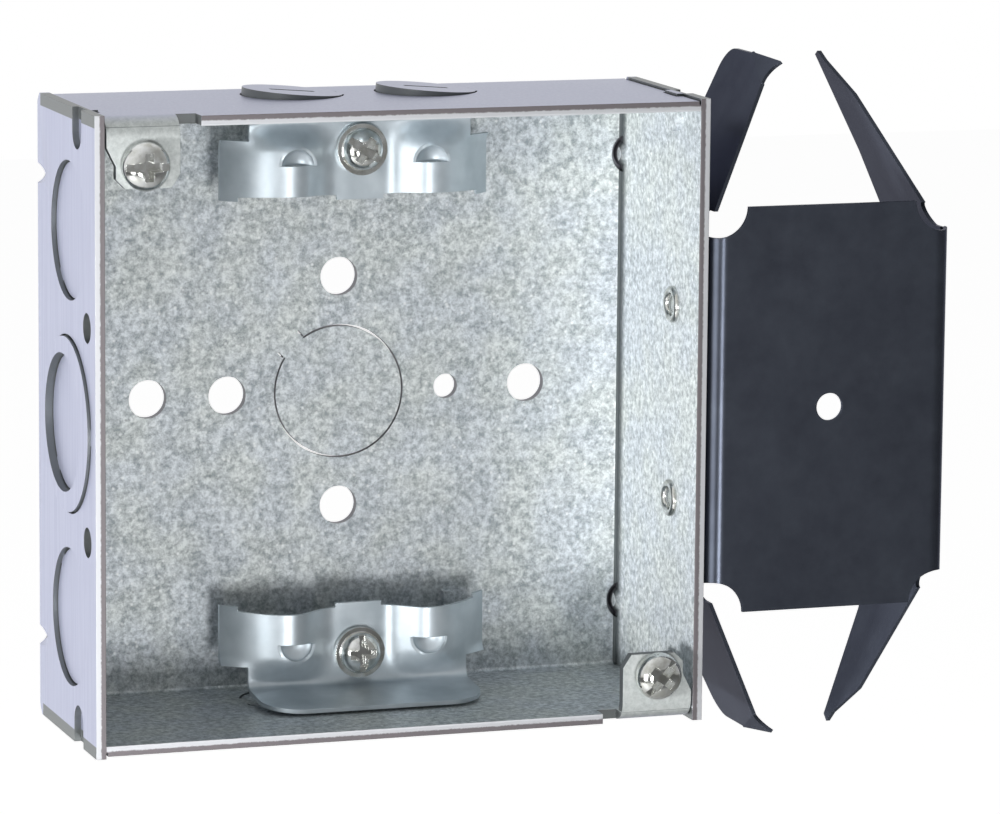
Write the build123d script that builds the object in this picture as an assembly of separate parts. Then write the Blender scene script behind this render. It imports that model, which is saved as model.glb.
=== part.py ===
from build123d import *
import os
from math import asin, cos, pi, radians, sin, tan

os.makedirs("parts", exist_ok=True)

# Square electrical box with a metal-stud bracket, in millimetres.
# X runs right, Y runs back into the wall, Z runs up, and the opening faces -Y.
# The origin is the middle of the outer face of the back.

# Box sheet
box_width = 101.6  # over the outer faces of the side walls
box_height = 101.6  # over the ends of the side walls
box_depth = 38.1  # opening plane to the outer face of the back
sheet = 1.6
fold_inside = 0.8  # inside radius of the folds
wall_step = 0.4  # side walls stand this far past the top and bottom walls
seam_width = 0.3  # welded seam where a wall meets a side wall
seam_depth = 0.6
corner_run = 3.4  # bevel on the rear corners of the side walls, along the depth
corner_drop = 3.6  # the same bevel, along the height

# Locks pressed into the ends of the side walls
lock_width = 5.6
lock_height = 6.4
lock_push = 1.1
lock_setback = 11.0  # opening plane to the middle of a lock
lock_gap = 0.3  # play round a lock in the notch of its wall

# Cover ears
cover_inset = 7.94  # outer faces of the box to a cover screw, across and down
ear_width = 11.8
ear_gap = 0.3  # between an ear and the side wall
ear_reach = 11.1  # outer face of the wall to the tip of its ear
ear_bevel = 1.4
ear_bevel_height = 2.1
ear_fold = 1.6  # inside radius of an ear's fold
ear_step = 1.5  # an ear is this much narrower at its tip
ear_step_height = 5.0  # tip to the middle of the step
relief_width = 3.4
relief_depth = 3.4

# Round knockouts
cut_gap = 0.3  # sheared line round a knockout
knockout = 22.2
large_knockout = 28.6
knockout_tab = 2.6
knockout_push = 0.8  # side knockouts are pressed inward this far
ring_push = 0.5  # the large ring stands outward this far
side_knockout_drop = 19.8  # end of the wall to the middle of an outer knockout
side_knockout_setback = 16.3
large_setback = 17.0
inner_setback = 18.9
tab_turn = 47.0  # direction of the side knockouts' tabs
back_tab_turn = 135.7
back_tab = 4.5
back_tab_slit = 0.9

# Pry-outs in the top and bottom walls
pry_diameter = 16.8
pry_spread = 22.6  # between the two pry-outs of a wall
pry_from_back = 12.1  # outer face of the back to the middle of a pry-out
pry_tilt = 4.5
pry_tab = 4.0
pry_slot_length = 7.5
pry_slot_width = 1.2

# Holes in the box
mount_hole = 6.35
mount_pitch = 38.1  # between the two upright mounting holes
near_hole = 19.05  # left mounting hole, from the middle
far_hole = 32.5  # outer mounting holes, from the middle
ground_hole = 4.1
ground_offset = 18.5
side_hole = 4.8
side_hole_rise = 17.0
side_hole_setback = 5.1

# Dents pressed inward at the rear folds of the side walls, and half sheared from the back
dent_drop = 13.0  # end of the wall to the middle of a dent
dent_radius = 1.7
dent_offset = 0.3  # outer face of the wall out to the axis of a dent, at the back's inner face
dent_lean = 14.0  # the axis leans out of the wall, so that the dent fades toward the front
dent_wall = 1.0  # metal between the hollow of a dent and its lump inside
dent_slit = 0.9  # sheared gap between the lump and the back
dent_slit_depth = 1.1

# Stops half sheared from the back beside the clamps
stop_width = 1.8
stop_length = 5.6
stop_offset = 19.0
stop_inset = 1.3  # inner edge of a clamp to the inner end of its stop
stop_height = 1.2

# Screws
screw_shank = 4.1
screw_fit = 0.06  # radial play of a shank in its tapped hole
tip_bevel = 0.5
slot_width = 1.1
slot_depth = 1.1
cross_width = 1.4
cross_length = 4.4
cross_depth = 1.6
cover_head = 7.7
cover_head_height = 2.6
cover_head_rim = 0.7
head_crown = 0.35  # flat crown of a head, of its radius
head_bow_out = 0.82  # a point on the round of a head, of its radius
head_bow_up = 0.62  # the same point, of the height of the round
cover_head_lift = 0.6  # gap under the head of a loosely set cover screw
cover_screw_length = 9.5
clamp_head = 7.0
clamp_head_height = 2.4
clamp_head_rim = 0.24
clamp_flange = 8.4
clamp_flange_height = 0.8
clamp_tip_inset = 0.4  # tip of a clamp screw to the outer face of the back
upper_cover_turn = 0.0
lower_cover_turn = 50.0
upper_clamp_turn = -34.0
lower_clamp_turn = 92.0

# Cable clamps
clamp_sheet = 0.7
clamp_reach = 15.6  # inner face of the wall to the inner edge of its clamp
clamp_screw_drop = 7.4  # inner face of the wall to the clamp screw
clamp_seat_gap = 0.15  # play under the head of a clamp screw
clamp_screw_play = 0.3  # radial play of a shank in its clamp
clamp_half = 22.6
clamp_neck_half = 18.7
clamp_neck_drop = 5.7  # inner face of the wall to the end of the wide part
edge_recess = 0.7
edge_bow = 0.3  # hollow of the edge along each saddle
centre_tab_half = 3.9
end_tab = 2.4
saddle_offset = 11.5  # middle of the clamp to the crest of a saddle
clamp_stand = 11.5  # inner face of the back to the seat of the screw head
saddle_height = 3.0  # seat to the crest of a saddle
clamp_seat_half = 4.6  # flat seat round the screw
end_drop = 3.5  # the ends of a clamp lie this far behind its seat
lip_drop = 3.5  # inner face of the wall to the start of the lip's fold
lip_radius = 1.4
lip_angle = 85.0
lip_length = 12.8  # seat to the front edge of the lip
lip_corner = 6.5
dimple_offset = 11.3
dimple_inset = 2.2  # clamp screw to the open edge of a louvre
dimple_length = 5.6
dimple_height = 2.7
dimple_depth = 1.4
dimple_wall = 0.5
clamp_columns = 48  # steps of the clamp's surface across its width
clamp_rows = 40  # and along its section
surface_tolerance = 0.02

# Rivets
rivet_shank = 4.0
rivet_bore = 2.7
rivet_ring = 6.1
rivet_ring_bore = 3.4
rivet_ring_height = 0.8
rivet_head = 7.0
rivet_head_height = 1.2
rivet_rise = 16.0
rivet_setback = 11.6

# Stud bracket
bracket_sheet = 0.6
stud_width = 41.2  # clear width between the flanges
bracket_bend = 3.2  # outside radius of the plate's bends
plate_height = 66.4
flange_depth = 27.5  # opening plane to the rear edges of the flanges
bracket_hole = 4.5
notch_radius = 5.0
notch_inset = 1.6
slot_reach = 7.0  # opening plane to the blind end of a leg's slot
slot_height = 3.8
leg_fold = 28.0  # middle of the plate to the fold of a leg
leg_bend = 4.0
leg_spare = 10.0  # sheet past the ends of the legs, cut off by their outlines
left_upper_lean = 25.2
left_lower_lean = 25.8
right_upper_lean = 31.0
right_lower_lean = 25.0
left_leg_reach = 56.2  # middle of the plate to the end of a leg
left_leg_rear = 27.0  # opening plane to the rear top corner of a left leg
left_leg_round = 3.4
left_leg_setback = 2.8
left_leg_slope = 0.21  # set back per height of the leg's front edge
crease_drop = 4.2
crease_length = 9.3
barb_reach = 4.2
barb_turn = 25.0
barb_lean = 0.27  # place of a barb's point along its crease
barb_hollow = 0.22  # hollow of a barb's front edge, along its crease
barb_hollow_reach = 0.45  # the same hollow, of the barb's reach
right_leg_extra = 0.1  # the right legs end this much further out than the left ones
right_leg_setback = 5.4
right_leg_slope = 0.27
right_shoulder_drop = 6.6  # end of a right leg to its shoulder
right_leg_rear = 22.8  # rear edge at mid height of the leg
tip_front = 15.6
tip_front_drop = 1.5
tip_width = 0.6
tip_rear = 18.3
tip_rear_drop = 0.8

# Values that follow from the sizes above
front = -box_depth
side_x = box_width / 2
wall_z = box_height / 2 - wall_step
fold_outside = fold_inside + sheet
inner_x = side_x - sheet
inner_z = wall_z - sheet
screw_hole = screw_shank + 2 * screw_fit
cover_x = side_x - cover_inset
cover_z = box_height / 2 - cover_inset
side_knockout_rise = box_height / 2 - side_knockout_drop
dent_rise = box_height / 2 - dent_drop
clamp_inner = inner_z - clamp_reach
clamp_screw_rise = inner_z - clamp_screw_drop
clamp_neck_rise = inner_z - clamp_neck_drop
lip_rise = inner_z - lip_drop
dimple_rise = clamp_screw_rise - dimple_inset
stop_rise = clamp_inner + stop_inset
clamp_setback = box_depth - sheet - clamp_stand
saddle_setback = clamp_setback - saddle_height
lip_setback = clamp_setback - lip_length
clamp_screw_length = clamp_stand + clamp_seat_gap + sheet - clamp_tip_inset
flange_near = side_x + bracket_sheet / 2
flange_far = side_x + bracket_sheet * 1.5 + stud_width
bracket_middle = (flange_near + flange_far) / 2
plate_face = front - bracket_sheet
flange_start = plate_face + bracket_bend + bracket_sheet / 2
slot_low = plate_height / 2 - notch_radius + bracket_sheet / 4
right_leg_reach = left_leg_reach + right_leg_extra
right_leg_shoulder = right_leg_reach - right_shoulder_drop
beyond = 2 * sheet  # cutters run this far past the faces they cut

# Drawing planes: seen from the front, and from the right
facing = Plane(origin=(0, 0, 0), x_dir=(1, 0, 0), z_dir=(0, -1, 0))
sideways = Plane(origin=(0, 0, 0), x_dir=(0, 1, 0), z_dir=(1, 0, 0))
half_turn = Rot(0, 180, 0)


def block(x1, x2, y1, y2, z1, z2):
    """A box given by its limits."""
    middle = Pos((x1 + x2) / 2, (y1 + y2) / 2, (z1 + z2) / 2)
    return middle * Box(abs(x2 - x1), abs(y2 - y1), abs(z2 - z1))


def bar_y(x, z, diameter, y1, y2):
    """A round bar along Y."""
    return Pos(x, (y1 + y2) / 2, z) * Rot(90, 0, 0) * Cylinder(diameter / 2, abs(y2 - y1))


def bar_x(y, z, diameter, x1, x2):
    """A round bar along X."""
    return Pos((x1 + x2) / 2, y, z) * Rot(0, 90, 0) * Cylinder(diameter / 2, abs(x2 - x1))


def polygon(points):
    """A flat face inside a closed row of points."""
    return make_face(Polyline(*points, close=True))


def seen_from_front(face, y1, y2):
    """A face drawn in X and Z, given depth from y1 back to y2."""
    return extrude(Pos(0, y2, 0) * (facing * face), amount=y2 - y1)


def seen_from_side(face, x1, x2):
    """A face drawn in Y and Z, given width from x1 right to x2."""
    return extrude(Pos(x1, 0, 0) * (sideways * face), amount=x2 - x1)


def folded(points, radius, thickness):
    """The section of a folded sheet whose middle line runs through the points."""
    return trace(FilletPolyline(*points, radius=radius), thickness)


def tray():
    """Back and four walls, with rounded folds round the back."""
    outer = block(-side_x, side_x, front, 0, -wall_z, wall_z)
    outer = fillet(outer.edges().group_by(Axis.Y)[-1], fold_outside)
    inner = block(-inner_x, inner_x, front - beyond, -sheet, -inner_z, inner_z)
    inner = fillet(inner.edges().group_by(Axis.Y)[-1], fold_inside)
    return outer - inner


def wall_ends(body):
    """Side walls run past the top and bottom walls, with beveled rear corners and locks."""
    end = box_height / 2
    bevel = [(beyond, end - corner_drop - beyond * corner_drop / corner_run),
             (beyond, end + beyond), (-corner_run - beyond * corner_run / corner_drop, end + beyond)]
    corner = seen_from_side(polygon(bevel), inner_x, side_x + beyond)
    lock_y = front + lock_setback
    foot = end - lock_height
    lock_face = Pos(lock_y, (end + foot + lock_width / 2) / 2) * Rectangle(
        lock_width, lock_height - lock_width / 2)
    lock_face += Pos(lock_y, foot + lock_width / 2) * Circle(lock_width / 2)
    press = seen_from_side(lock_face, side_x - lock_push, side_x + beyond)
    bulge = seen_from_side(lock_face, inner_x - lock_push, inner_x + sheet - lock_push)
    half_notch = lock_width / 2 + lock_gap
    notch = block(inner_x - lock_push - lock_gap, inner_x, lock_y - half_notch,
                  lock_y + half_notch, inner_z - beyond, end + beyond)
    ledge = block(inner_x, side_x, front, -fold_outside, wall_z, end)
    seam = block(inner_x - seam_width, inner_x, front - beyond, -fold_outside,
                 wall_z - seam_depth, end + beyond)
    for turn in (Rot(0, 0, 0), half_turn):
        for flip in (False, True):
            place = lambda shape: turn * (mirror(shape, Plane.XY) if flip else shape)
            body += place(ledge)
            body -= [place(corner), place(notch), place(seam), place(press)]
            body += place(bulge)
    return body


def ear():
    """Upper left cover ear, folded down from the front edge of the top wall."""
    outer_edge = -inner_x + ear_gap
    inner_edge = outer_edge + ear_width
    tip = wall_z - ear_reach
    path = [(front + relief_depth, wall_z - sheet / 2), (front + sheet / 2, wall_z - sheet / 2),
            (front + sheet / 2, tip)]
    strap = seen_from_side(folded(path, ear_fold + sheet / 2, sheet), outer_edge, inner_edge)
    step_low = tip + ear_step_height - ear_step
    step_high = tip + ear_step_height + ear_step
    shape = polygon([
        (outer_edge, box_height), (inner_edge, box_height), (inner_edge, tip + ear_bevel_height),
        (inner_edge - ear_bevel, tip), (outer_edge + 2 * ear_step, tip),
        (outer_edge + ear_step, tip + ear_step), (outer_edge + ear_step, step_low),
        (outer_edge, step_high)])
    hole = bar_y(-cover_x, cover_z, screw_hole, front - beyond, front + beyond)
    return (strap & seen_from_front(shape, front - beyond, front + 2 * relief_depth)) - hole


def add_ears(body):
    """Relief in the top and bottom walls, then both ears."""
    left = -inner_x
    right = left + ear_gap + ear_width + relief_width
    relief = block(left, right, front - beyond, front + relief_depth, inner_z - beyond, wall_z + beyond)
    strap = ear()
    body -= [relief, half_turn * relief]
    return body + [strap, half_turn * strap]


def disc(diameter, push):
    """A knockout's disc in its wall's own plane, pressed in from the face at zero."""
    return Pos(0, 0, -sheet / 2 - push) * Cylinder(diameter / 2, sheet)


def bridge(diameter, turn, width, push):
    """The tab that still holds a knockout, as thick as the metal its two sides share."""
    low = -sheet - min(push, 0)
    high = -max(push, 0)
    tab = block(diameter / 2 - width / 2, diameter / 2 + width / 2, -width / 2, width / 2, low, high)
    return Rot(0, 0, turn) * tab


def side_knockouts(body):
    """Three knockouts in the left wall, the middle one inside a larger ring."""
    def wall_place(setback, rise):
        return Plane(origin=(-side_x, front + setback, rise), x_dir=(0, 1, 0), z_dir=(-1, 0, 0))

    tool = Cylinder(knockout / 2, 4 * beyond)
    plug = disc(knockout - 2 * cut_gap, knockout_push)
    for sign in (1, -1):
        place = wall_place(side_knockout_setback, sign * side_knockout_rise)
        body -= place * tool
        body += [place * plug, place * bridge(knockout, sign * tab_turn, knockout_tab, knockout_push)]
    middle = wall_place(large_setback, 0)
    inner = wall_place(inner_setback, 0)
    body -= middle * Cylinder(large_knockout / 2, 4 * beyond)
    ring = middle * disc(large_knockout - 2 * cut_gap, -ring_push) - inner * tool
    ring_tab = middle * bridge(large_knockout, 180, knockout_tab, -ring_push)
    tab_push = knockout_push + ring_push
    inner_tab = Pos(-ring_push, 0, 0) * (inner * bridge(knockout, tab_turn, knockout_tab, tab_push))
    return body + [ring, ring_tab, inner * plug, inner_tab]


def back_knockout():
    """The sheared line round the back's knockout, open only at its tab."""
    line = Cylinder(knockout / 2, 4 * beyond) - Cylinder(knockout / 2 - cut_gap, 4 * beyond)
    keep = Box(knockout_tab, back_tab, 4 * beyond)
    line -= Rot(0, 0, back_tab_turn) * Pos(knockout / 2, 0, 0) * keep
    for side in (-1, 1):
        slit = Box(back_tab_slit + cut_gap, cut_gap, 4 * beyond)
        spot = Pos(knockout / 2 + back_tab_slit / 2, side * (back_tab + cut_gap) / 2, 0)
        line += Rot(0, 0, back_tab_turn) * spot * slit
    return facing * line


def pry_out():
    """One pry-out disc with its slot, lifted at the left and held at the right."""
    plate = disc(pry_diameter - 2 * cut_gap, 0) - Box(pry_slot_length, pry_slot_width, 4 * beyond)
    edge = pry_diameter / 2
    lifted = Pos(edge, 0, 0) * Rot(0, pry_tilt, 0) * Pos(-edge, 0, 0) * plate
    tab = block(edge - 2 * cut_gap, edge + 2 * cut_gap, -pry_tab / 2, pry_tab / 2, -sheet, 0)
    return lifted + tab


def add_pry_outs(body):
    """Two pry-outs in the top wall, and the same turned half round in the bottom wall."""
    for x in (-pry_spread / 2, pry_spread / 2):
        place = Pos(x, -pry_from_back, wall_z)
        tool = place * Cylinder(pry_diameter / 2, 4 * beyond)
        body -= [tool, half_turn * tool]
        plate = place * pry_out()
        body += [plate, half_turn * plate]
    return body


def back_holes():
    """Mounting holes, the grounding hole and the tapped clamp holes, through the back."""
    spots = [(0, mount_pitch / 2, mount_hole), (0, -mount_pitch / 2, mount_hole),
             (-near_hole, 0, mount_hole), (-far_hole, 0, mount_hole), (far_hole, 0, mount_hole),
             (ground_offset, 0, ground_hole), (0, clamp_screw_rise, screw_hole),
             (0, -clamp_screw_rise, screw_hole)]
    return [bar_y(x, z, size, -sheet - beyond, beyond) for x, z, size in spots]


def wall_holes():
    """The left wall's small holes and the rivet holes."""
    cuts = []
    for sign in (1, -1):
        cuts.append(bar_x(front + side_hole_setback, sign * side_hole_rise, side_hole,
                          -side_x - beyond, -inner_x + beyond))
        cuts.append(bar_x(front + rivet_setback, sign * rivet_rise, rivet_shank,
                          inner_x - beyond, side_x + beyond))
    return cuts


def dent(grow):
    """The hollow of the upper right dent, or the same shape grown all round."""
    rod = Rot(0, 0, dent_lean) * Rot(90, 0, 0) * Cylinder(dent_radius + grow, box_depth)
    return Pos(side_x + dent_offset, -sheet, dent_rise) * rod


def add_dents(body):
    """Dents in the rear folds: hollow outside, a lump inside, half sheared from the back."""
    lump = dent(dent_wall)
    within = block(0, inner_x + sheet / 4, front, sheet / 4 - sheet, 0, box_height)
    slit_side = block(0, inner_x, -sheet - fold_inside, dent_slit_depth - sheet, 0, box_height)
    slit = (dent(dent_wall + dent_slit) - lump) & slit_side
    bulge = lump & within
    hollow = dent(0)
    for turn in (Rot(0, 0, 0), half_turn):
        for flip in (False, True):
            place = lambda shape: turn * (mirror(shape, Plane.XY) if flip else shape)
            body += place(bulge)
            body -= [place(hollow), place(slit)]
    return body


def add_stops(body):
    """A narrow stop beside each clamp, half sheared forward from the back."""
    left = stop_offset - stop_width / 2
    right = stop_offset + stop_width / 2
    pocket = block(left, right, -stop_height, beyond, -stop_rise - stop_length, -stop_rise)
    stop = block(left, right, -sheet - stop_height, -sheet, -stop_rise - stop_length, -stop_rise)
    body -= [pocket, half_turn * pocket]
    return body + [stop, half_turn * stop]


def box_shell():
    """The whole folded box."""
    body = wall_ends(tray())
    body = add_ears(body)
    body = side_knockouts(body)
    body = add_pry_outs(body)
    body -= back_holes() + wall_holes()
    body -= back_knockout()
    return add_dents(add_stops(body))


def screw(head, height, rim, flange, flange_height, length, turn):
    """A domed screw with a slot and a cross in its head; the seat is at zero, the tip at +Y."""
    radius = head / 2
    base = flange_height
    top = base + height
    shank = screw_shank / 2
    crown = head_crown * radius
    outline = [Line((0, top), (0, -length)), Line((0, -length), (shank - tip_bevel, -length)),
               Line((shank - tip_bevel, -length), (shank, tip_bevel - length)),
               Line((shank, tip_bevel - length), (shank, 0)), Line((shank, 0), (flange / 2, 0)),
               Line((flange / 2, 0), (flange / 2, base + rim))]
    if flange > head:
        outline.append(Line((flange / 2, base + rim), (radius, base + rim)))
    bow = (head_bow_out * radius, base + rim + head_bow_up * (height - rim))
    outline.append(ThreePointArc((radius, base + rim), bow, (crown, top)))
    outline.append(Line((crown, top), (0, top)))
    body = revolve(Plane.XZ * make_face(outline), Axis.Z)
    cuts = [Pos(0, 0, top) * Box(2 * flange, slot_width, 2 * slot_depth),
            Pos(0, 0, top) * Box(cross_length, cross_width, 2 * cross_depth),
            Pos(0, 0, top) * Box(cross_width, cross_length, 2 * cross_depth)]
    body -= [Rot(0, 0, turn) * cut for cut in cuts]
    return facing * body


def cover_screw(sign, turn):
    """Cover screw in its ear, not yet driven home."""
    body = screw(cover_head, cover_head_height, cover_head_rim, cover_head, 0, cover_screw_length, turn)
    return Pos(-sign * cover_x, front - cover_head_lift, sign * cover_z) * body


def clamp_screw(sign, turn):
    """Clamp screw with a flanged head, seated on its clamp."""
    body = screw(clamp_head, clamp_head_height, clamp_head_rim, clamp_flange,
                 clamp_flange_height, clamp_screw_length, turn)
    return Pos(0, front + clamp_setback - clamp_seat_gap, sign * clamp_screw_rise) * body


def saddle_depth(x):
    """Depth of a clamp's front face behind the opening plane, across the clamp."""
    if abs(x) < saddle_offset:
        climb = max(abs(x) - clamp_seat_half, 0) / (saddle_offset - clamp_seat_half)
        return clamp_setback - saddle_height * (1 - cos(pi * climb)) / 2
    fall = (abs(x) - saddle_offset) / (clamp_half - saddle_offset)
    return saddle_setback + (saddle_height + end_drop) * (1 - cos(pi / 2 * fall))


def clamp_point(x, along):
    """A point on the front face of the upper clamp, at a length along its upright section."""
    straight = lip_rise - clamp_inner
    bend = lip_radius * radians(lip_angle)
    fade = min(max((along - (clamp_screw_rise - clamp_inner)) / (straight + bend / 2
               - (clamp_screw_rise - clamp_inner)), 0), 1)
    fade = 1 - fade * fade * (3 - 2 * fade)
    depth = clamp_setback + fade * (saddle_depth(x) - clamp_setback)
    angle = radians(lip_angle) * min(max((along - straight) / bend, 0), 1)
    past = max(along - straight - bend, 0)
    depth -= lip_radius * (1 - cos(angle)) + past * sin(radians(lip_angle))
    rise = clamp_inner + min(along, straight) + lip_radius * sin(angle) + past * cos(radians(lip_angle))
    return (x, front + depth, rise)


def clamp_sheet_solid():
    """The waved and folded clamp sheet, before its outline is cut."""
    bend = lip_radius * radians(lip_angle)
    lip = (clamp_setback - lip_setback - lip_radius) / sin(radians(lip_angle))
    total = lip_rise - clamp_inner + bend + lip
    columns = [(clamp_half + clamp_sheet) * (2 * i / clamp_columns - 1) for i in range(clamp_columns + 1)]
    rows = [-clamp_sheet + (total + 2 * clamp_sheet) * j / clamp_rows for j in range(clamp_rows + 1)]
    grid = [[clamp_point(x, along) for x in columns] for along in rows]
    skin = Face.make_surface_from_array_of_points(grid, tol=surface_tolerance, min_deg=3, max_deg=5)
    solid = Solid.thicken(skin, clamp_sheet, normal_override=Vector(0, 1, 0))
    return Part() + solid


def clamp():
    """The upper cable clamp: two saddles, a lip along the wall, and a louvre on each saddle."""
    recess = clamp_inner + edge_recess
    inner_end = (centre_tab_half, recess)
    outer_end = (clamp_half - end_tab, recess)
    bow = ThreePointArc(inner_end, ((inner_end[0] + outer_end[0]) / 2, recess + edge_bow), outer_end)
    half = make_face([
        Polyline((0, box_height), (0, clamp_inner), (centre_tab_half, clamp_inner), inner_end), bow,
        Polyline(outer_end, (clamp_half - end_tab, clamp_inner), (clamp_half, clamp_inner),
                 (clamp_half, clamp_neck_rise), (clamp_neck_half, clamp_neck_rise),
                 (clamp_neck_half, box_height), (0, box_height))])
    outline = seen_from_front(half + mirror(half, Plane.YZ), front, 0)
    tip = front + lip_setback
    shoulder = front + clamp_setback - lip_radius
    wide = clamp_half + beyond
    cap = polygon([(-wide, 0), (-wide, shoulder), (-clamp_neck_half, shoulder), (-clamp_neck_half, tip),
                   (clamp_neck_half, tip), (clamp_neck_half, shoulder), (wide, shoulder), (wide, 0)])
    corners = cap.vertices().group_by(Axis.Y)[0]
    cap = fillet(corners, lip_corner)
    body = clamp_sheet_solid() & outline & extrude(cap, amount=box_height)
    seat = front + clamp_setback
    body -= bar_y(0, clamp_screw_rise, screw_shank + 2 * clamp_screw_play, seat - beyond, seat + beyond)
    return add_dimples(body)


def dimple(grow):
    """Half an egg, cut flat on its lower side."""
    half = dimple_length / 2 + grow
    depth = dimple_depth + grow
    height = dimple_height + grow
    egg = scale(Sphere(1), by=(half, depth, height))
    return egg & block(-2 * half, 2 * half, -2 * depth, 2 * depth, 0, 2 * height)


def add_dimples(body):
    """Press a louvre into each saddle, open toward the middle of the box."""
    face_y = front + saddle_depth(dimple_offset)
    for x in (-dimple_offset, dimple_offset):
        place = Pos(x, face_y, dimple_rise)
        wall = dimple(dimple_wall) & block(-clamp_half, clamp_half, clamp_sheet / 2,
                                           clamp_half, -clamp_half, clamp_half)
        body = body + place * wall - place * dimple(0)
    return body


def rivet(sign):
    """A tubular rivet: domed head on the bracket's flange, rolled ring inside the box."""
    seat = side_x + bracket_sheet
    half = rivet_head / 2
    roll = (rivet_ring - rivet_ring_bore) / 4
    ring_end = inner_x - rivet_ring_height
    dome = (rivet_head_height ** 2 + half ** 2) / (2 * rivet_head_height)
    sweep = asin(half / dome) / 2
    dome_middle = (seat + rivet_head_height - dome * (1 - cos(sweep)), dome * sin(sweep))
    outline = [
        Line((seat + rivet_head_height, 0), (inner_x, 0)),
        Line((inner_x, 0), (inner_x, rivet_bore / 2)),
        Line((inner_x, rivet_bore / 2), (ring_end + roll, rivet_ring_bore / 2)),
        ThreePointArc((ring_end + roll, rivet_ring_bore / 2),
                      (ring_end, rivet_ring_bore / 2 + roll), (ring_end + roll, rivet_ring / 2)),
        Line((ring_end + roll, rivet_ring / 2), (inner_x, rivet_ring / 2)),
        Line((inner_x, rivet_ring / 2), (inner_x, rivet_shank / 2)),
        Line((inner_x, rivet_shank / 2), (seat, rivet_shank / 2)),
        Line((seat, rivet_shank / 2), (seat, half)),
        ThreePointArc((seat, half), dome_middle, (seat + rivet_head_height, 0))]
    body = revolve(make_face(outline), Axis.X)
    return Pos(0, front + rivet_setback, sign * rivet_rise) * body


def leg_x(flange, inward, lean, z):
    """Middle of a leg's sheet at a height z past the fold."""
    return flange + inward * tan(radians(lean)) * (abs(z) - leg_fold)


def side_sheet(flange, inward, upper_lean, lower_lean, half_outline):
    """One flange with its two sprung legs, cut to an outline given for the upper half."""
    end = max(left_leg_reach, right_leg_reach) + leg_spare
    path = [(leg_x(flange, inward, lower_lean, end), -end), (flange, -leg_fold), (flange, leg_fold),
            (leg_x(flange, inward, upper_lean, end), end)]
    band = seen_from_front(folded(path, leg_bend, bracket_sheet), front, front + 2 * flange_depth)
    band = band & block(side_x, flange_far + bracket_sheet / 2, front, front + 2 * flange_depth, -end, end)
    round_end = slot_height / 2
    slot_middle = slot_low + round_end
    start = plate_face - beyond
    stop = front + slot_reach - round_end
    slot = Pos((start + stop) / 2, slot_middle) * Rectangle(stop - start, slot_height)
    slot += Pos(stop, slot_middle) * Circle(round_end)
    upper = half_outline - slot
    outline = upper + mirror(upper, Plane.XZ)
    return band & seen_from_side(outline, side_x - beyond, flange_far + beyond)


def left_leg_front(z):
    """Front edge of a left leg."""
    return front + left_leg_setback + left_leg_slope * (z - slot_low - slot_height)


def left_crease():
    """Ends of the line where a left leg's front corner is folded in."""
    low = left_leg_reach - crease_drop
    return (left_leg_front(low), low), (left_leg_front(low) + crease_length, left_leg_reach)


def left_outline():
    """Upper half of the left flange and leg."""
    crease_low, crease_high = left_crease()
    rear = front + flange_depth
    slot_high = slot_low + slot_height
    face = polygon([(flange_start, 0), (flange_start, slot_low), (left_leg_front(slot_high), slot_high),
                    crease_low, crease_high, (front + left_leg_rear, left_leg_reach),
                    (rear, leg_fold), (rear, 0)])
    corner = face.vertices().group_by(Axis.Y)[-1].sort_by(Axis.X)[-1:]
    return fillet(corner, left_leg_round)


def barb(lean):
    """The folded front corner of a left leg, upper half."""
    points = []
    for y, z in left_crease():
        points.append(Vector(leg_x(flange_near, 1, lean, z), y, z))
    low, high = points
    crease = (high - low).normalized()
    normal = Vector(cos(radians(lean)), 0, -sin(radians(lean)))
    across = normal.cross(crease)
    folded_across = across * cos(radians(barb_turn)) + normal * sin(radians(barb_turn))
    plane = Plane(origin=low, x_dir=crease, z_dir=crease.cross(folded_across))
    length = (high - low).length
    point = (barb_lean * length, barb_reach)
    edge = [Line((0, 0), (length, 0)), Line((length, 0), point),
            ThreePointArc(point, (barb_hollow * length, barb_hollow_reach * barb_reach), (0, 0))]
    flap = extrude(plane * make_face(edge), amount=bracket_sheet / 2, both=True)
    root = plane * (Pos(length / 2, 0, 0) * Rot(0, 90, 0) * Cylinder(bracket_sheet / 2, length))
    return flap + root


def right_outline():
    """Upper half of the right flange and leg, which ends in a point."""
    slot_high = slot_low + slot_height
    rear = front + flange_depth
    foot = front + right_leg_setback
    shoulder = foot + right_leg_slope * (right_leg_shoulder - slot_high)
    middle = (leg_fold + right_leg_shoulder) / 2
    return polygon([
        (flange_start, 0), (flange_start, slot_low), (foot, slot_high), (shoulder, right_leg_shoulder),
        (front + tip_front, right_leg_reach - tip_front_drop),
        (front + tip_front + tip_width, right_leg_reach),
        (front + tip_rear, right_leg_reach - tip_rear_drop), (front + right_leg_rear, middle),
        (rear, leg_fold), (rear, 0)])


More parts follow.
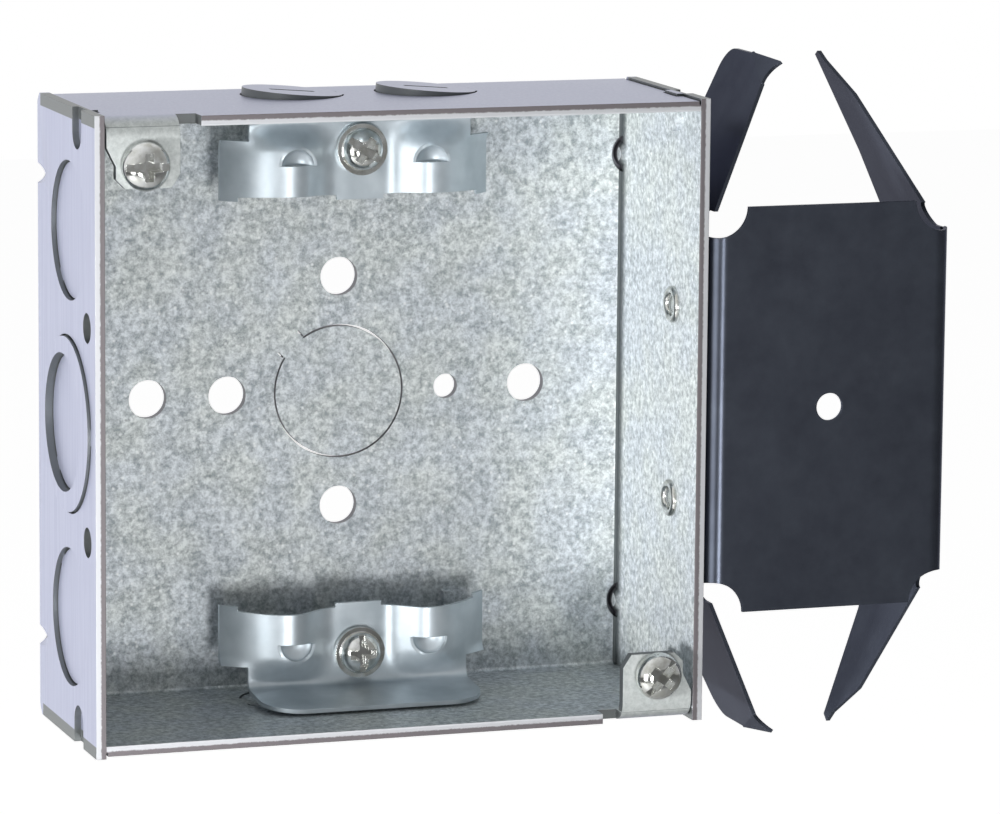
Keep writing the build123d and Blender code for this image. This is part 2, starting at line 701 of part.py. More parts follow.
def stud_bracket():
    """The spring-steel bracket: front plate, two flanges, four legs, two of them barbed."""
    mid_plate = front - bracket_sheet / 2
    path = [(flange_near, flange_start), (flange_near, mid_plate), (flange_far, mid_plate),
            (flange_far, flange_start)]
    section = folded(path, bracket_bend - bracket_sheet / 2, bracket_sheet)
    half = plate_height / 2
    plate = extrude(Pos(0, 0, -half) * section, amount=plate_height)
    for z in (half, -half):
        for x in (side_x + notch_inset, flange_far + bracket_sheet / 2 - notch_inset):
            plate -= bar_y(x, z, 2 * notch_radius, plate_face - beyond, flange_start + beyond)
    plate -= bar_y(bracket_middle, 0, bracket_hole, plate_face - beyond, front + beyond)
    near = side_sheet(flange_near, 1, left_upper_lean, left_lower_lean, left_outline())
    far = side_sheet(flange_far, -1, right_upper_lean, right_lower_lean, right_outline())
    for sign in (1, -1):
        near -= bar_x(front + rivet_setback, sign * rivet_rise, rivet_shank,
                      side_x - beyond, side_x + beyond)
    upper_barb = barb(left_upper_lean)
    lower_barb = mirror(barb(left_lower_lean), Plane.XY)
    return plate + [near, far, upper_barb, lower_barb]


upper = clamp()
pieces = {
    "box_shell": box_shell(),
    "cover_screw_upper": cover_screw(1, upper_cover_turn),
    "cover_screw_lower": cover_screw(-1, lower_cover_turn),
    "upper_clamp": upper,
    "lower_clamp": half_turn * upper,
    "upper_clamp_screw": clamp_screw(1, upper_clamp_turn),
    "lower_clamp_screw": clamp_screw(-1, lower_clamp_turn),
    "stud_bracket": stud_bracket(),
    "bracket_rivet_upper": rivet(1),
    "bracket_rivet_lower": rivet(-1),
}
for name, piece in pieces.items():
    export_step(piece, f"parts/{name}.step")
    print(name, len(piece.solids()), round(piece.volume, 1))
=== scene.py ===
# %% [markdown]
# A square electrical box for a metal stud, dressed for its picture.
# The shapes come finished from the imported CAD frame: the folded box, its screws, clamps,
# bracket and rivets. This lesson gives each of them the metal that it is made of,
# then adds the studio: a pale floor, soft lamps and the camera.

# %% Load the frame
from math import cos, radians, sin

import bpy
from mathutils import Matrix, Vector


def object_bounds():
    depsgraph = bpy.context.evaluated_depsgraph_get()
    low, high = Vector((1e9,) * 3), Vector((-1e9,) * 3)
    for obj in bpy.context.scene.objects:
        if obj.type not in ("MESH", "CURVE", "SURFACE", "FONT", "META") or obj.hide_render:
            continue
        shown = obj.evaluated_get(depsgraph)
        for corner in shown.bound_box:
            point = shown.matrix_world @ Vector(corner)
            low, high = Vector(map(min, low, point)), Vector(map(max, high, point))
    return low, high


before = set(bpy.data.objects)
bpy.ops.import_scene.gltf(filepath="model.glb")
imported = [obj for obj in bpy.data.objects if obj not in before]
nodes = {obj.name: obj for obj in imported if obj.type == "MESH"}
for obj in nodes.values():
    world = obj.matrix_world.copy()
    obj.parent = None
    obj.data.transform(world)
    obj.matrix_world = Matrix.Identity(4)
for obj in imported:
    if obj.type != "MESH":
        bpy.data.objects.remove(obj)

cad_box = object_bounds()
print("CAD nodes:", sorted(nodes))

# %% [markdown]
# Round surfaces. The frame's meshes are triangles, and flat shading would show each one on
# the bends and the screw heads. A modifier leaves the mesh as it is and works on a copy:
# Weld joins the triangles' corners, and a small node group shades the result smooth
# except across edges that are sharper than a given angle.

# %% Smooth shading by angle
SHARP_ANGLE = radians(32)
WELD_DISTANCE = 2e-6


def smooth_group():
    """A geometry node group that shades smooth and keeps the sharp edges sharp."""
    group = bpy.data.node_groups.new("smooth_by_angle", "GeometryNodeTree")
    group.interface.new_socket("Geometry", in_out="INPUT", socket_type="NodeSocketGeometry")
    group.interface.new_socket("Geometry", in_out="OUTPUT", socket_type="NodeSocketGeometry")
    start = group.nodes.new("NodeGroupInput")
    end = group.nodes.new("NodeGroupOutput")
    angle = group.nodes.new("GeometryNodeInputMeshEdgeAngle")
    gentle = group.nodes.new("FunctionNodeCompare")
    gentle.operation = "LESS_THAN"
    gentle.inputs["B"].default_value = SHARP_ANGLE
    faces = group.nodes.new("GeometryNodeSetShadeSmooth")
    edges = group.nodes.new("GeometryNodeSetShadeSmooth")
    edges.domain = "EDGE"
    group.links.new(start.outputs["Geometry"], faces.inputs["Geometry"])
    group.links.new(faces.outputs["Geometry"], edges.inputs["Geometry"])
    group.links.new(angle.outputs["Unsigned Angle"], gentle.inputs["A"])
    group.links.new(gentle.outputs["Result"], edges.inputs["Shade Smooth"])
    group.links.new(edges.outputs["Geometry"], end.inputs["Geometry"])
    return group


shading = smooth_group()
for node in nodes.values():
    weld = node.modifiers.new("join corners", "WELD")
    weld.merge_threshold = WELD_DISTANCE
    smooth = node.modifiers.new("smooth by angle", "NODES")
    smooth.node_group = shading
print("shaded smooth:", len(nodes), "nodes")

# %% [markdown]
# Colours and nodes. Colours are written the way a paint chart gives them, as sRGB hex, and
# one function turns them to the linear values that the shader needs. A second function adds
# any node to a material, with its settings and its links, so that a finish reads as a list.

# %% Helpers for every finish
MM = 0.001


def linear(code):
    """An sRGB hex colour as linear RGBA, by the curve of the sRGB standard."""
    channels = [int(code[i:i + 2], 16) / 255 for i in (1, 3, 5)]
    return [c / 12.92 if c <= 0.04045 else ((c + 0.055) / 1.055) ** 2.4
            for c in channels] + [1.0]


def add(tree, kind, settings=None, links=None):
    """Add one node, set its properties or sockets by name, and link sources to its sockets."""
    node = tree.nodes.new(kind)
    for name, value in (settings or {}).items():
        if isinstance(name, str) and hasattr(node, name):
            setattr(node, name, value)
        else:
            node.inputs[name].default_value = value
    for name, source in (links or {}).items():
        tree.links.new(source, node.inputs[name])
    return node


def new_finish(name):
    """An empty material with its shader, its output and the part's own coordinates."""
    material = bpy.data.materials.new(name)
    material.use_nodes = True
    tree = material.node_tree
    tree.nodes.clear()
    shader = add(tree, "ShaderNodeBsdfPrincipled")
    add(tree, "ShaderNodeOutputMaterial", links={"Surface": shader.outputs["BSDF"]})
    place = add(tree, "ShaderNodeTexCoord").outputs["Object"]
    return material, tree, shader, place


def two_tone(tree, pattern, low, dark, high, light):
    """A colour that goes from dark at a pattern's low value to light at its high value."""
    share = add(tree, "ShaderNodeMapRange", {"From Min": low, "From Max": high},
                {"Value": pattern}).outputs["Result"]
    return add(tree, "ShaderNodeMix", {"data_type": "RGBA", 6: linear(dark), 7: linear(light)},
               {"Factor": share}).outputs[2]


def per_mm(size):
    """The texture scale at which a pattern repeats about every size millimetres."""
    return 1 / (size * MM)


print("a mid grey:", [round(c, 3) for c in linear("#808080")])

# %% [markdown]
# Galvanised sheet. The box is folded from steel strip that was dipped in zinc. Zinc freezes
# in small crystals, the spangle, which look frosted and mottled. The inside keeps that
# frosted look, with specks, and the outside was rubbed smoother by the press tools and
# looks pale lavender. Where the sheet was sheared, its edge shows two bands: a burnished one
# on the side where the blade entered, and a torn one beyond, and their tones also carry a
# painted highlight and painted shade. Masks made from the part's own coordinates put each
# look in its place, so that one material serves the one folded sheet.

# %% Galvanised sheet: its sizes in mm and its coordinates
SHEET = 1.6
DEPTH = 38.1
HALF_WIDTH = 50.8  # middle to the outer face of a side wall
HALF_HEIGHT = 50.4  # middle to the outer face of the top wall
SIDE_FACE = HALF_WIDTH - SHEET  # middle to the inner face of a side wall
TOP_FACE = HALF_HEIGHT - SHEET  # middle to the inner face of the top wall

galvanised, tree, shader, place = new_finish("galvanised steel sheet, spangled zinc")
axes = add(tree, "ShaderNodeSeparateXYZ", links={0: place}).outputs
size_x, size_z = (add(tree, "ShaderNodeMath", {"operation": "ABSOLUTE"},
                      {0: axes[axis]}).outputs[0] for axis in "XZ")
true_normal = add(tree, "ShaderNodeNewGeometry").outputs["True Normal"]
facing = add(tree, "ShaderNodeSeparateXYZ", links={0: true_normal}).outputs
print("inner faces at", SIDE_FACE, "and", TOP_FACE, "mm")

# %% [markdown]
# Limits. A Math node that compares a coordinate with a limit gives 1 on one side of it and
# 0 on the other, which is a mask. The back's outer face is at Y = 0 and the opening at
# Y = -DEPTH. A table with one row for each limit is easier to read than a page of nodes.

# %% Galvanised sheet: masks from one limit each
FACE_MARGIN = 0.3  # a face this near to a mask's limit still counts as inside
CUT_MARGIN = 0.05  # the sheared rim of a hole starts this far below the face
EDGE_DEPTH = 0.05  # how near to the opening plane counts as edge
REAR_MARGIN = 4.0  # the folds of the back end before this depth
FOLD = 0.6  # reach of the inner folds beside the back
EAR_INNER = 37.0  # middle to the inner edge of a cover ear

limits = (  # name, what is measured, which side of the limit, limit in mm
    ("within sides", size_x, "LESS_THAN", SIDE_FACE + FACE_MARGIN),
    ("within top", size_z, "LESS_THAN", TOP_FACE + FACE_MARGIN),
    ("before back", axes["Y"], "LESS_THAN", CUT_MARGIN - SHEET),
    ("before skin", axes["Y"], "LESS_THAN", -CUT_MARGIN),
    ("near side", size_x, "GREATER_THAN", SIDE_FACE - FOLD),
    ("off sides", size_x, "LESS_THAN", SIDE_FACE - CUT_MARGIN),
    ("off top", size_z, "LESS_THAN", TOP_FACE - CUT_MARGIN),
    ("in front", axes["Y"], "LESS_THAN", SHEET + FACE_MARGIN - DEPTH),
    ("ear reach", size_x, "GREATER_THAN", EAR_INNER),
    ("in side wall", size_x, "GREATER_THAN", SIDE_FACE + CUT_MARGIN),
    ("in top wall", size_z, "GREATER_THAN", TOP_FACE + CUT_MARGIN),
    ("behind face", axes["Y"], "GREATER_THAN", 2 * CUT_MARGIN - DEPTH),
    ("clear of back", axes["Y"], "LESS_THAN", -REAR_MARGIN),
    ("at front", axes["Y"], "LESS_THAN", EDGE_DEPTH - DEPTH),
    ("on side", size_x, "GREATER_THAN", SIDE_FACE - EDGE_DEPTH),
    ("on top", size_z, "GREATER_THAN", TOP_FACE - EDGE_DEPTH),
)
mask = {}
for name, measure, side, limit in limits:
    mask[name] = add(tree, "ShaderNodeMath", {"operation": side, 1: limit * MM},
                     {0: measure}).outputs[0]
print(len(mask), "masks from limits")

# %% [markdown]
# Directions and soft limits. A sheared face stands square to the wall that it was cut in,
# so the direction of the face finds it. The ears lie on one diagonal of the box, where X
# and Z have opposite signs. Two masks fade: the painted shade beside each fold at the back,
# which darkens the corner where it lies in shade, and the ear's tone, which blends into the
# wall around the ear's own fold.

# %% Galvanised sheet: masks from directions, and two that fade
TURNED = 0.5  # a normal with less than this along an axis is turned away from it
FOLD_SHADE = 2.6  # painted shade beside a fold fades out on the wall at this distance
EAR_ROLL = 3.2  # outer radius of an ear's fold

for axis in "XYZ":
    along = add(tree, "ShaderNodeMath", {"operation": "ABSOLUTE"},
                {0: facing[axis]}).outputs[0]
    mask["turned " + axis] = add(tree, "ShaderNodeMath", {"operation": "LESS_THAN", 1: TURNED},
                                 {0: along}).outputs[0]
crossed = add(tree, "ShaderNodeMath", {"operation": "MULTIPLY"},
              {0: axes["X"], 1: axes["Z"]}).outputs[0]
mask["ear side"] = add(tree, "ShaderNodeMath", {"operation": "LESS_THAN", 1: 0.0},
                       {0: crossed}).outputs[0]
# near back fades the painted shade of the folds at the back out across the wall
for name, start, end in (("near back", -SHEET - FOLD_SHADE, -SHEET - FOLD / 2),
                         ("rolled", EAR_ROLL - DEPTH, SHEET / 2 - DEPTH)):
    mask[name] = add(tree, "ShaderNodeMapRange", {"From Min": start * MM, "From Max": end * MM},
                     {"Value": axes["Y"]}).outputs["Result"]
print(len(mask), "masks so far")

# %% [markdown]
# Places. Multiplying two masks keeps what lies in both, and their maximum keeps what lies in
# either. Row by row this builds the places that the finish needs: the inside, the rims of
# the holes in the back, the folds beside the back where shade is painted, the ears, the
# sheared faces and the front edges.

# %% Galvanised sheet: masks put together
places = (  # name, how the two are put together, first mask, second mask
    ("within", "MULTIPLY", "within sides", "within top"),
    ("inside", "MULTIPLY", "within", "before back"),
    ("in skin", "SUBTRACT", "before skin", "before back"),
    ("cut rim", "MULTIPLY", "within", "in skin"),
    ("corner", "MULTIPLY", "near side", "near back"),
    # painted shade in the folds beside the back, inside the box
    ("painted inner fold shade", "MULTIPLY", "corner", "inside"),
    ("off walls", "MULTIPLY", "off sides", "off top"),
    ("ear", "MULTIPLY", "off walls", "in front"),
    ("rolled corner", "MULTIPLY", "rolled", "ear side"),
    ("rolled strip", "MULTIPLY", "rolled corner", "ear reach"),
    ("ear fold", "MULTIPLY", "rolled strip", "off sides"),
    ("ear face", "MAXIMUM", "ear", "ear fold"),
    # the ears' cut edges, which get painted shade as well as the cut steel's tone
    ("ear edge with painted shade", "MULTIPLY", "ear", "turned Y"),
    ("side cut", "MULTIPLY", "turned X", "in side wall"),
    ("top cut", "MULTIPLY", "turned Z", "in top wall"),
    ("wall cut", "MAXIMUM", "side cut", "top cut"),
    ("cut off back", "MULTIPLY", "wall cut", "clear of back"),
    ("sheared", "MULTIPLY", "cut off back", "behind face"),
    ("on wall", "MAXIMUM", "on side", "on top"),
    ("front edge", "MULTIPLY", "at front", "on wall"),
)
for name, how, first, second in places:
    mask[name] = add(tree, "ShaderNodeMath", {"operation": how},
                     {0: mask[first], 1: mask[second]}).outputs[0]
print(len(mask), "masks in all")

# %% [markdown]
# Frosted zinc. A noise of about a millimetre, rough in its finer octaves, stands for the
# crystals. A slower noise tints it a little, and two Voronoi patterns scatter specks: the
# distance to the nearest cell's middle is small only in a dot.

# %% Galvanised sheet: the frosted grain and its specks
GRAIN = 1.0  # grain of the frosted zinc
TINT = 9.0  # patches that lean to lavender or to green
DARK_SPECK = 2.6  # spacing of the dark specks
SPARKLE = 1.7  # spacing of the bright crystals

grain = add(tree, "ShaderNodeTexNoise",
            {"Scale": per_mm(GRAIN), "Detail": 4.0, "Roughness": 0.75, "Distortion": 0.2},
            {"Vector": place}).outputs["Fac"]
frosted = two_tone(tree, grain, low=0.36, dark="#9CA3A6", high=0.64, light="#E8ECED")
patch = add(tree, "ShaderNodeTexNoise", {"Scale": per_mm(TINT), "Detail": 2.0},
            {"Vector": place}).outputs["Fac"]
tint = two_tone(tree, patch, low=0.38, dark="#F6F8FC", high=0.62, light="#F9FAF8")
spangled = add(tree, "ShaderNodeMix",
               {"data_type": "RGBA", "blend_type": "MULTIPLY", "Factor": 1.0},
               {6: frosted, 7: tint}).outputs[2]
for spacing, dot, faded, strength, colour in ((DARK_SPECK, 0.04, 0.12, 0.5, "#6E7678"),
                                              (SPARKLE, 0.08, 0.2, 0.6, "#F6F8F8")):
    cells = add(tree, "ShaderNodeTexVoronoi", {"Scale": per_mm(spacing)}, {"Vector": place})
    speck = add(tree, "ShaderNodeMapRange",
                {"From Min": dot, "From Max": faded, "To Min": strength, "To Max": 0.0},
                {"Value": cells.outputs["Distance"]}).outputs["Result"]
    spangled = add(tree, "ShaderNodeMix", {"data_type": "RGBA", 7: linear(colour)},
                   {"Factor": speck, 6: spangled}).outputs[2]
print("grain scale:", grain.node.inputs["Scale"].default_value)

# %% [markdown]
# Smooth outside and ears. Rolling leaves fine streaks along the strip, so the noise of the
# outside is stretched by a Mapping node. The ears were pressed flat, and keep less contrast.

# %% Galvanised sheet: the smooth outside and the ears
STREAK = 0.5  # width of the rolling streaks
STREAK_LENGTH = 22.0

stretched = add(tree, "ShaderNodeMapping",
                {"Scale": (per_mm(STREAK), per_mm(STREAK), per_mm(STREAK_LENGTH))},
                {"Vector": place}).outputs["Vector"]
streak = add(tree, "ShaderNodeTexNoise", {"Scale": 1.0, "Detail": 2.0},
             {"Vector": stretched}).outputs["Fac"]
smooth_face = two_tone(tree, streak, low=0.3, dark="#ABAFC6", high=0.7, light="#B8BCD0")
ear_tone = two_tone(tree, grain, low=0.36, dark="#B2B8B7", high=0.64, light="#CBD0CF")
print("streaks:", STREAK, "by", STREAK_LENGTH, "mm")

# %% [markdown]
# Front edges. The blade burnished half of each sheared edge and tore the other half. On the
# side walls the burnished band lies outside, on the top and bottom walls inside. The two
# bands slope differently, so their colours also hold painted light: the light band a
# painted highlight, the dark band painted shade. The grain makes the line between the bands
# ragged.

# %% Galvanised sheet: two bands on the sheared front edges
BAND_LINE = 0.5  # the bands meet here, as a share of the sheet
BAND_SOFTNESS = 0.06
RAGGED = 0.3  # how far the line between the bands wanders, of the sheet

across = {}
for name, measure, torn, bright in (("side", size_x, SIDE_FACE, HALF_WIDTH),
                                    ("top", size_z, HALF_HEIGHT, TOP_FACE)):
    across[name] = add(tree, "ShaderNodeMapRange",
                       {"From Min": torn * MM, "From Max": bright * MM},
                       {"Value": measure}).outputs["Result"]
across_edge = add(tree, "ShaderNodeMix", {"data_type": "FLOAT"},
                  {"Factor": mask["on side"], "A": across["top"],
                   "B": across["side"]}).outputs["Result"]
wander = add(tree, "ShaderNodeMath", {"operation": "MULTIPLY_ADD", 1: RAGGED, 2: -RAGGED / 2},
             {0: grain}).outputs[0]
line = add(tree, "ShaderNodeMath", {"operation": "ADD"}, {0: across_edge, 1: wander}).outputs[0]
# the light band is partly a painted highlight and the dark band partly painted shade, over the
# bands' own tones
edge_bands_and_painted_light = two_tone(tree, line, low=BAND_LINE - BAND_SOFTNESS, dark="#7A7578",
                       high=BAND_LINE + BAND_SOFTNESS, light="#CDCFD3")
print("edge bands meet at", BAND_LINE * SHEET, "mm")

# %% [markdown]
# Layers. The colours are laid over each other like stencilled paint: each mask lets one
# colour through, and a later row covers the earlier ones.

# %% Galvanised sheet: the colours in their places
layers = (  # mask, and the colour that it lets through
    ("inside", spangled),
    # painted shade: the folds beside the back are darkened where the corner lies in shade
    ("painted inner fold shade", "#4A5052"),
    ("ear face", ear_tone),
    # the ears' cut edges: bare cut steel, made darker than the other sheared faces as painted
    # shade that outlines each ear
    ("ear edge with painted shade", "#4E5254"),
    ("sheared", "#747879"),
    ("cut rim", "#6C6C72"),
    # front edges: their bands carry a painted highlight and painted shade
    ("front edge", edge_bands_and_painted_light),
)
sheet_colour = smooth_face
for name, colour in layers:
    layer = add(tree, "ShaderNodeMix", {"data_type": "RGBA"},
                {"Factor": mask[name], 6: sheet_colour})
    if isinstance(colour, str):
        layer.inputs[7].default_value = linear(colour)
    else:
        tree.links.new(colour, layer.inputs[7])
    sheet_colour = layer.outputs[2]
tree.links.new(sheet_colour, shader.inputs["Base Color"])
print("layers:", [name for name, colour in layers])

# %% [markdown]
# Reflection. Frosted crystals scatter light, so the inside is rougher and less like a mirror
# than the rubbed outside, and has a fine relief. Sheet metal has no knife-sharp edges: the
# Bevel node rounds the shading of each edge over a tenth of a millimetre or so, which gives
# the thin bright lines that edges have.

# %% Galvanised sheet: how the surface reflects
EDGE_ROUND = 0.12  # radius of the rounding seen on edges
RELIEF = 0.08  # height of the crystals

rough_inside = add(tree, "ShaderNodeMapRange", {"To Min": 0.52, "To Max": 0.36},
                   {"Value": grain}).outputs["Result"]
rough = add(tree, "ShaderNodeMix", {"data_type": "FLOAT", "A": 0.4},
            {"Factor": mask["inside"], "B": rough_inside}).outputs["Result"]
tree.links.new(rough, shader.inputs["Roughness"])
metal = add(tree, "ShaderNodeMix", {"data_type": "FLOAT", "A": 0.75, "B": 0.5},
            {"Factor": mask["inside"]}).outputs["Result"]
tree.links.new(metal, shader.inputs["Metallic"])
relief = add(tree, "ShaderNodeMath", {"operation": "MULTIPLY"},
             {0: grain, 1: mask["inside"]}).outputs[0]
rounded = add(tree, "ShaderNodeBevel", {"Radius": EDGE_ROUND * MM}).outputs["Normal"]
bump = add(tree, "ShaderNodeBump", {"Strength": 0.3, "Distance": RELIEF * MM},
           {"Height": relief, "Normal": rounded}).outputs["Normal"]
tree.links.new(bump, shader.inputs["Normal"])
print("galvanised sheet has", len(tree.nodes), "nodes")

# %% [markdown]
# Zinc plate on the clamps. The clamps are pressed from thin strip and then plated, which
# leaves a smooth bluish bright film. It is a metal with little roughness and faint clouds.

# %% Bright zinc plate for the clamps
CLAMP_CLOUD = 5.0

zinc_clamp, tree, shader, place = new_finish("bright zinc plate on pressed steel")
cloud = add(tree, "ShaderNodeTexNoise", {"Scale": per_mm(CLAMP_CLOUD), "Detail": 3.0},
            {"Vector": place}).outputs["Fac"]
plate = two_tone(tree, cloud, low=0.3, dark="#AFBAC1", high=0.7, light="#C6CFD5")
tree.links.new(plate, shader.inputs["Base Color"])
rough = add(tree, "ShaderNodeMapRange", {"To Min": 0.32, "To Max": 0.44},
            {"Value": cloud}).outputs["Result"]
tree.links.new(rough, shader.inputs["Roughness"])
shader.inputs["Metallic"].default_value = 0.65
print(zinc_clamp.name)

# %% [markdown]
# The screws and rivets are plated in a barrel, where they rub on each other, so that they
# are shinier than the sheet. The film is a little yellow in places.

# %% Yellowish zinc on the screws and rivets
SCREW_CLOUD = 1.5

zinc_screw, tree, shader, place = new_finish("zinc plate on machine screws")
cloud = add(tree, "ShaderNodeTexNoise", {"Scale": per_mm(SCREW_CLOUD), "Detail": 2.0},
            {"Vector": place}).outputs["Fac"]
plate = two_tone(tree, cloud, low=0.35, dark="#C0C1BB", high=0.65, light="#DEE0DF")
tree.links.new(plate, shader.inputs["Base Color"])
shader.inputs["Roughness"].default_value = 0.14
shader.inputs["Metallic"].default_value = 1.0
print(zinc_screw.name)

# %% [markdown]
# The bracket is spring steel with a black oxide film: dark slate and satin. The film is so
# thin that it keeps some of the metal's sheen, so the shader is mostly metallic, and a dark
# edge tint keeps the sheen low where the sheet is seen at a slant.

# %% Black oxide on the bracket
OXIDE_CLOUD = 6.0

black_oxide, tree, shader, place = new_finish("black oxide on spring steel")
cloud = add(tree, "ShaderNodeTexNoise",
            {"Scale": per_mm(OXIDE_CLOUD), "Detail": 7.0, "Roughness": 0.7},
            {"Vector": place}).outputs["Fac"]
film = two_tone(tree, cloud, low=0.3, dark="#40444E", high=0.7, light="#4C515B")
tree.links.new(film, shader.inputs["Base Color"])
shader.inputs["Roughness"].default_value = 0.26
shader.inputs["Metallic"].default_value = 0.7
shader.inputs["Specular IOR Level"].default_value = 0.1
shader.inputs["Specular Tint"].default_value = linear("#A6A6B0")
print(black_oxide.name)

# %% [markdown]
# Edges and pieces. The three plain finishes get the same rounded edges as the sheet. Each
# piece then gets its finish: a new material in its only slot, while the mesh stays the CAD's.

# %% Round the edges and put each finish on its pieces
for finish in (zinc_clamp, zinc_screw, black_oxide):
    tree = finish.node_tree
    rounded = add(tree, "ShaderNodeBevel", {"Radius": EDGE_ROUND * MM}).outputs["Normal"]
    tree.links.new(rounded, tree.nodes["Principled BSDF"].inputs["Normal"])
finishes = {
    "box_shell": galvanised,
    "upper_clamp": zinc_clamp,
    "lower_clamp": zinc_clamp,
    "stud_bracket": black_oxide,
}
for name, node in nodes.items():
    node.data.materials.clear()
    node.data.materials.append(finishes.get(name, zinc_screw))
print("finishes:", {name: node.data.materials[0].name for name, node in nodes.items()})

# %% [markdown]
# Floor. A pale floor lies well below the box, which hangs from its bracket in use. Camera
# rays see it almost white. Mirrored rays see it glow only behind the part, because a floor
# that glowed in front as well would wash out the back of the box.

# %% Floor
FLOOR_DROP = 0.4
FLOOR_SIZE = 8.0
FLOOR_GLOW = 0.85
DIM_FLOOR = 0.3  # metal sees the floor glow beyond this distance behind the part
BRIGHT_FLOOR = 1.3  # and in full from here on

half = FLOOR_SIZE / 2
floor_mesh = bpy.data.meshes.new("floor")
corners = [(-half, -half, 0), (half, -half, 0), (half, half, 0), (-half, half, 0)]
floor_mesh.from_pydata(corners, [], [(0, 1, 2, 3)])
floor = bpy.data.objects.new("floor", floor_mesh)
floor.location.z = cad_box[0][2] - FLOOR_DROP
bpy.context.scene.collection.objects.link(floor)
pale, tree, shader, place = new_finish("pale studio floor")
shader.inputs["Base Color"].default_value = linear("#E8E8E8")
shader.inputs["Roughness"].default_value = 0.9
shader.inputs["Specular IOR Level"].default_value = 0.0
light_path = add(tree, "ShaderNodeLightPath").outputs
floor_y = add(tree, "ShaderNodeSeparateXYZ", links={0: place}).outputs["Y"]
far_floor = add(tree, "ShaderNodeMapRange", {"From Min": DIM_FLOOR, "From Max": BRIGHT_FLOOR},
                {"Value": floor_y}).outputs["Result"]
mirrored = add(tree, "ShaderNodeMath", {"operation": "MAXIMUM"},
               {0: light_path["Is Glossy Ray"],
                1: light_path["Is Transmission Ray"]}).outputs[0]
far_mirrored = add(tree, "ShaderNodeMath", {"operation": "MULTIPLY"},
                   {0: mirrored, 1: far_floor}).outputs[0]
seen = add(tree, "ShaderNodeMath", {"operation": "MAXIMUM"},
           {0: light_path["Is Camera Ray"], 1: far_mirrored}).outputs[0]
glow = add(tree, "ShaderNodeMath", {"operation": "MULTIPLY", 1: FLOOR_GLOW},
           {0: seen}).outputs[0]
tree.links.new(glow, shader.inputs["Emission Strength"])
shader.inputs["Emission Color"].default_value = (1, 1, 1, 1)
floor_mesh.materials.append(pale)
print("floor at", round(floor.location.z, 3))

# %% [markdown]
# World. The room is soft and white. Camera rays see it at full strength, mirrored rays see
# it dimmer on the right of the camera, as studios are, and the light that it throws on the
# part is much weaker, so that the lamps shape the part.

# %% World
WORLD_LIGHT = 0.16
CAMERA_SIDE = 0.45  # brightness of the room on the right of the camera, as metal sees it
BRIGHT_WAY = (-0.8, 0.6, 0.0)  # the room is bright behind the part and on its left

world = bpy.data.worlds.new("soft white room")
bpy.context.scene.world = world
world.use_nodes = True
tree = world.node_tree
tree.nodes.clear()
light_path = add(tree, "ShaderNodeLightPath").outputs
direction = add(tree, "ShaderNodeTexCoord").outputs["Generated"]
toward = add(tree, "ShaderNodeVectorMath", {"operation": "DOT_PRODUCT", 1: BRIGHT_WAY},
             {0: direction}).outputs["Value"]
room = add(tree, "ShaderNodeMapRange",
           {"From Min": -0.8, "From Max": 0.2, "To Min": CAMERA_SIDE, "To Max": 1.0},
           {"Value": toward}).outputs["Result"]
mirrored = add(tree, "ShaderNodeMath", {"operation": "MAXIMUM"},
               {0: light_path["Is Glossy Ray"],
                1: light_path["Is Transmission Ray"]}).outputs[0]
light = add(tree, "ShaderNodeMix", {"data_type": "FLOAT", "A": WORLD_LIGHT},
            {"Factor": mirrored, "B": room}).outputs["Result"]
strength = add(tree, "ShaderNodeMix", {"data_type": "FLOAT", "B": 1.0},
               {"Factor": light_path["Is Camera Ray"], "A": light}).outputs["Result"]
background = add(tree, "ShaderNodeBackground", {"Color": (1, 1, 1, 1)}, {"Strength": strength})
add(tree, "ShaderNodeOutputWorld", links={"Surface": background.outputs["Background"]})
print("world:", world.name)

# %% [markdown]
# Lamps. A key lamp on the left shines through the opening onto the right wall and the
# nearest strip of the back; it is kept out of mirrored views, where it would make a hard
# glint. A lamp low in front lights the back, leaves the bottom wall in its own shade and is
# mirrored in the bends of the bracket. A broad one between the two is there to be mirrored
# in the curved clamps.

# %% Lamps
MIDDLE = (0.0, -0.02, 0.0)  # the middle of the box


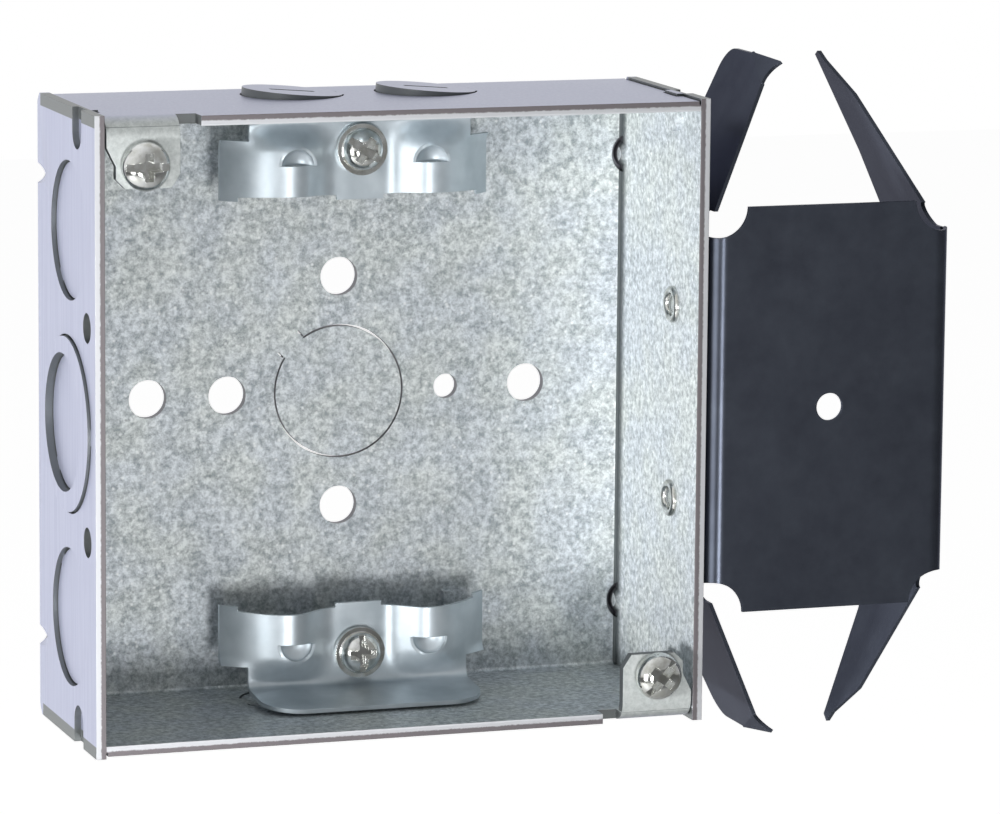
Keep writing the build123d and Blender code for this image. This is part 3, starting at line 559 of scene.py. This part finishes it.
def soft_lamp(name, spot, aim, size, power):
    """A square area lamp at a spot, aimed at a point."""
    data = bpy.data.lights.new(name, "AREA")
    data.shape = "SQUARE"
    data.size = size
    data.energy = power
    lamp = bpy.data.objects.new(name, data)
    lamp.location = spot
    lamp.rotation_euler = (Vector(aim) - Vector(spot)).to_track_quat("-Z", "Y").to_euler()
    lamp.visible_camera = False
    bpy.context.scene.collection.objects.link(lamp)
    return lamp


key = soft_lamp("left key lamp", spot=(-0.82, -0.365, -0.08), aim=(0.05, -0.02, 0.0),
                size=0.1, power=12.0)
key.visible_glossy = False
soft_lamp("low front lamp", spot=(-0.07, -1.05, -0.23), aim=MIDDLE, size=0.2, power=3.1)
soft_lamp("broad side lamp", spot=(-0.66, -0.62, -0.14), aim=MIDDLE, size=0.4, power=2.4)
print("lamps:", [lamp.name for lamp in bpy.data.lights])

# %% [markdown]
# Camera. The viewing angle was worked out from the corners of the box in the picture. The
# camera's axes are built from that angle and written straight into its matrix.

# %% Camera
AZIMUTH = 0.33008
ELEVATION = -0.16421
ROLL = 0.00896
CAMERA_SPOT = (-0.26643, -0.86133, 0.14660)
SENSOR = 36.0
IMAGE_WIDTH = 1000
FOCAL_PIXELS = 5538.71

forward = Vector((sin(AZIMUTH) * cos(ELEVATION), cos(AZIMUTH) * cos(ELEVATION), sin(ELEVATION)))
level = forward.cross(Vector((0, 0, 1))).normalized()
upright = level.cross(forward)
right = cos(ROLL) * level + sin(ROLL) * upright
up = cos(ROLL) * upright - sin(ROLL) * level
camera_data = bpy.data.cameras.new("camera")
camera_data.sensor_width = SENSOR
camera_data.lens = FOCAL_PIXELS * SENSOR / IMAGE_WIDTH
camera = bpy.data.objects.new("camera", camera_data)
turn = Matrix((right, up, -forward)).transposed().to_4x4()
camera.matrix_world = Matrix.Translation(CAMERA_SPOT) @ turn
bpy.context.scene.collection.objects.link(camera)
bpy.context.scene.camera = camera
bpy.context.scene.view_settings.view_transform = "Standard"
print("lens", round(camera_data.lens, 2), "mm")
